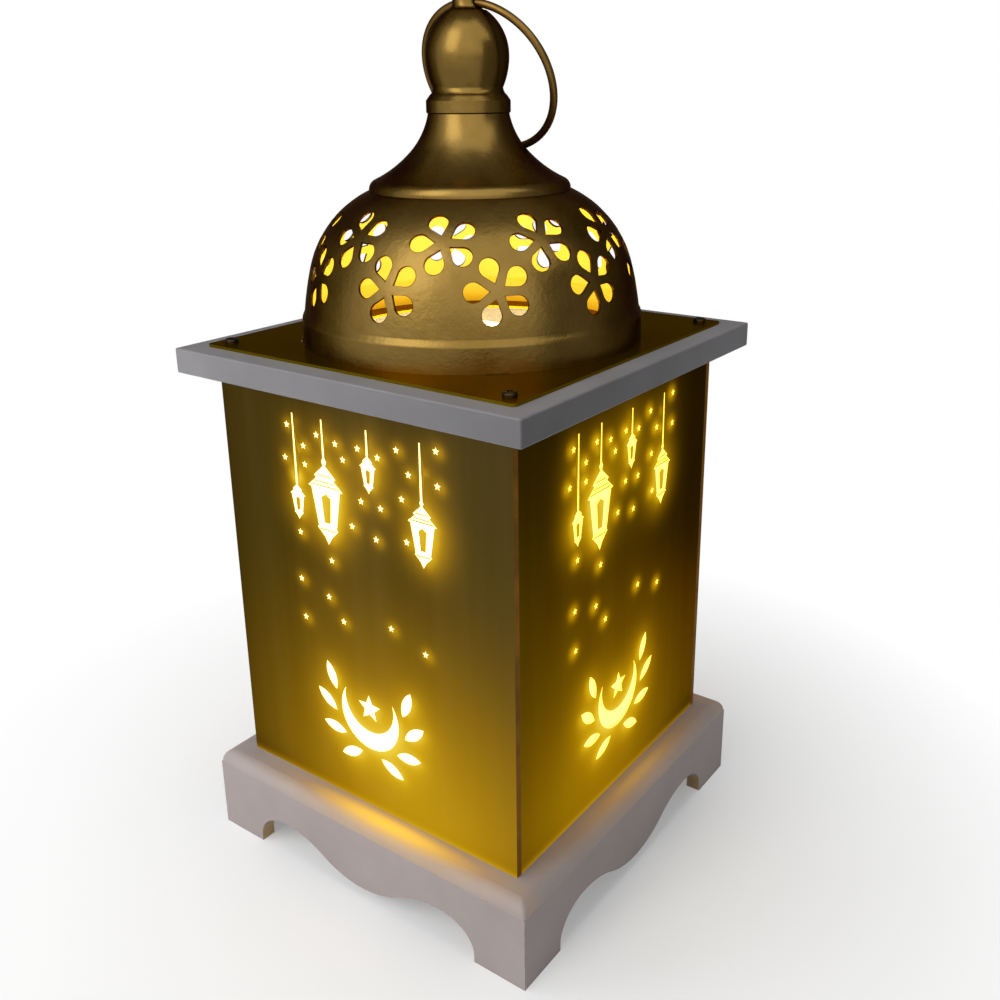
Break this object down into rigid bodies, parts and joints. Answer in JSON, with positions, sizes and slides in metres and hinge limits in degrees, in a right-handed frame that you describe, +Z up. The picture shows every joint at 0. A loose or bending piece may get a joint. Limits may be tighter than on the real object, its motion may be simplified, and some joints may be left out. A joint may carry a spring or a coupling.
{
  "type": "table lantern",
  "caption": "Square table lantern with a scalloped plinth, lit engraved gold panels, a flat tray, a flower-pierced dome and a bulb finial with a hanging ring.",
  "frame": {"origin": "middle of the footprint, on the surface the feet stand on", "axes": "+Z up along the dome's axis, -Y to the front panel, +X to the right panel"},
  "size_m": [0.18, 0.18, 0.3847],
  "materials": {
    "painted_board": "matt white paint on fibreboard",
    "raw_wood": "raw sawn softwood",
    "gold_panel": "satin gold film on clear acrylic sheet",
    "gold_sheet": "polished gold sheet",
    "bronze_metal": "satin antique gold paint",
    "bronze_wire": "satin antique gold paint",
    "dark_screw": "dark bronze plating",
    "zinc_steel": "bright zinc",
    "white_board": "white solder mask",
    "led_lens": "yellow phosphor",
    "black_plastic": "fine moulded texture",
    "switch_plastic": "fine moulded texture",
    "cell_can": "plain wrapped can",
    "lead_red": "smooth insulation",
    "lead_black": "smooth insulation"
  },
  "bodies": {
    "lantern": {"base_top": "painted_board", "battery_box": "black_plastic", "box_screws": "zinc_steel", "cells": "cell_can", "contacts": "zinc_steel", "corner_block_back_left": "raw_wood", "corner_block_back_right": "raw_wood", "corner_block_front_left": "raw_wood", "corner_block_front_right": "raw_wood", "dome_shell": "bronze_metal", "finial": "bronze_metal", "finial_stud": "zinc_steel", "lead_return": "lead_black", "lead_supply": "lead_red", "lead_switch": "lead_red", "led_board": "white_board", "led_chips": "led_lens", "led_standoffs": "black_plastic", "neck_flare": "bronze_metal", "panel_back": "gold_panel", "panel_front": "gold_panel", "panel_left": "gold_panel", "panel_right": "gold_panel", "plate_screws": "dark_screw", "post_back_left": "raw_wood", "post_back_right": "raw_wood", "post_front_left": "raw_wood", "post_front_right": "raw_wood", "post_screws_bottom": "zinc_steel", "post_screws_top": "zinc_steel", "skirt_back": "painted_board", "skirt_front": "painted_board", "skirt_left": "painted_board", "skirt_right": "painted_board", "stud_nut": "zinc_steel", "stud_washer": "zinc_steel", "switch_body": "black_plastic", "top_plate": "gold_sheet", "tray": "painted_board"},
    "ring": {"hang_ring": "bronze_wire"},
    "cover": {"battery_cover": "black_plastic"},
    "knob": {"switch_knob": "switch_plastic"}
  },
  "joints": [
    {"name": "ring_swing", "type": "hinge", "parent": "lantern", "child": "ring", "pos_m": [0, 0, 0.3745], "axis": [1, 0, 0], "range_deg": [0, 308]},
    {"name": "cover_slide", "type": "slide", "parent": "lantern", "child": "cover", "axis": [1, 0, 0], "range_m": [0, 0.06]},
    {"name": "switch_slide", "type": "slide", "parent": "lantern", "child": "knob", "axis": [1, 0, 0], "range_m": [0, 0.003]}
  ]
}
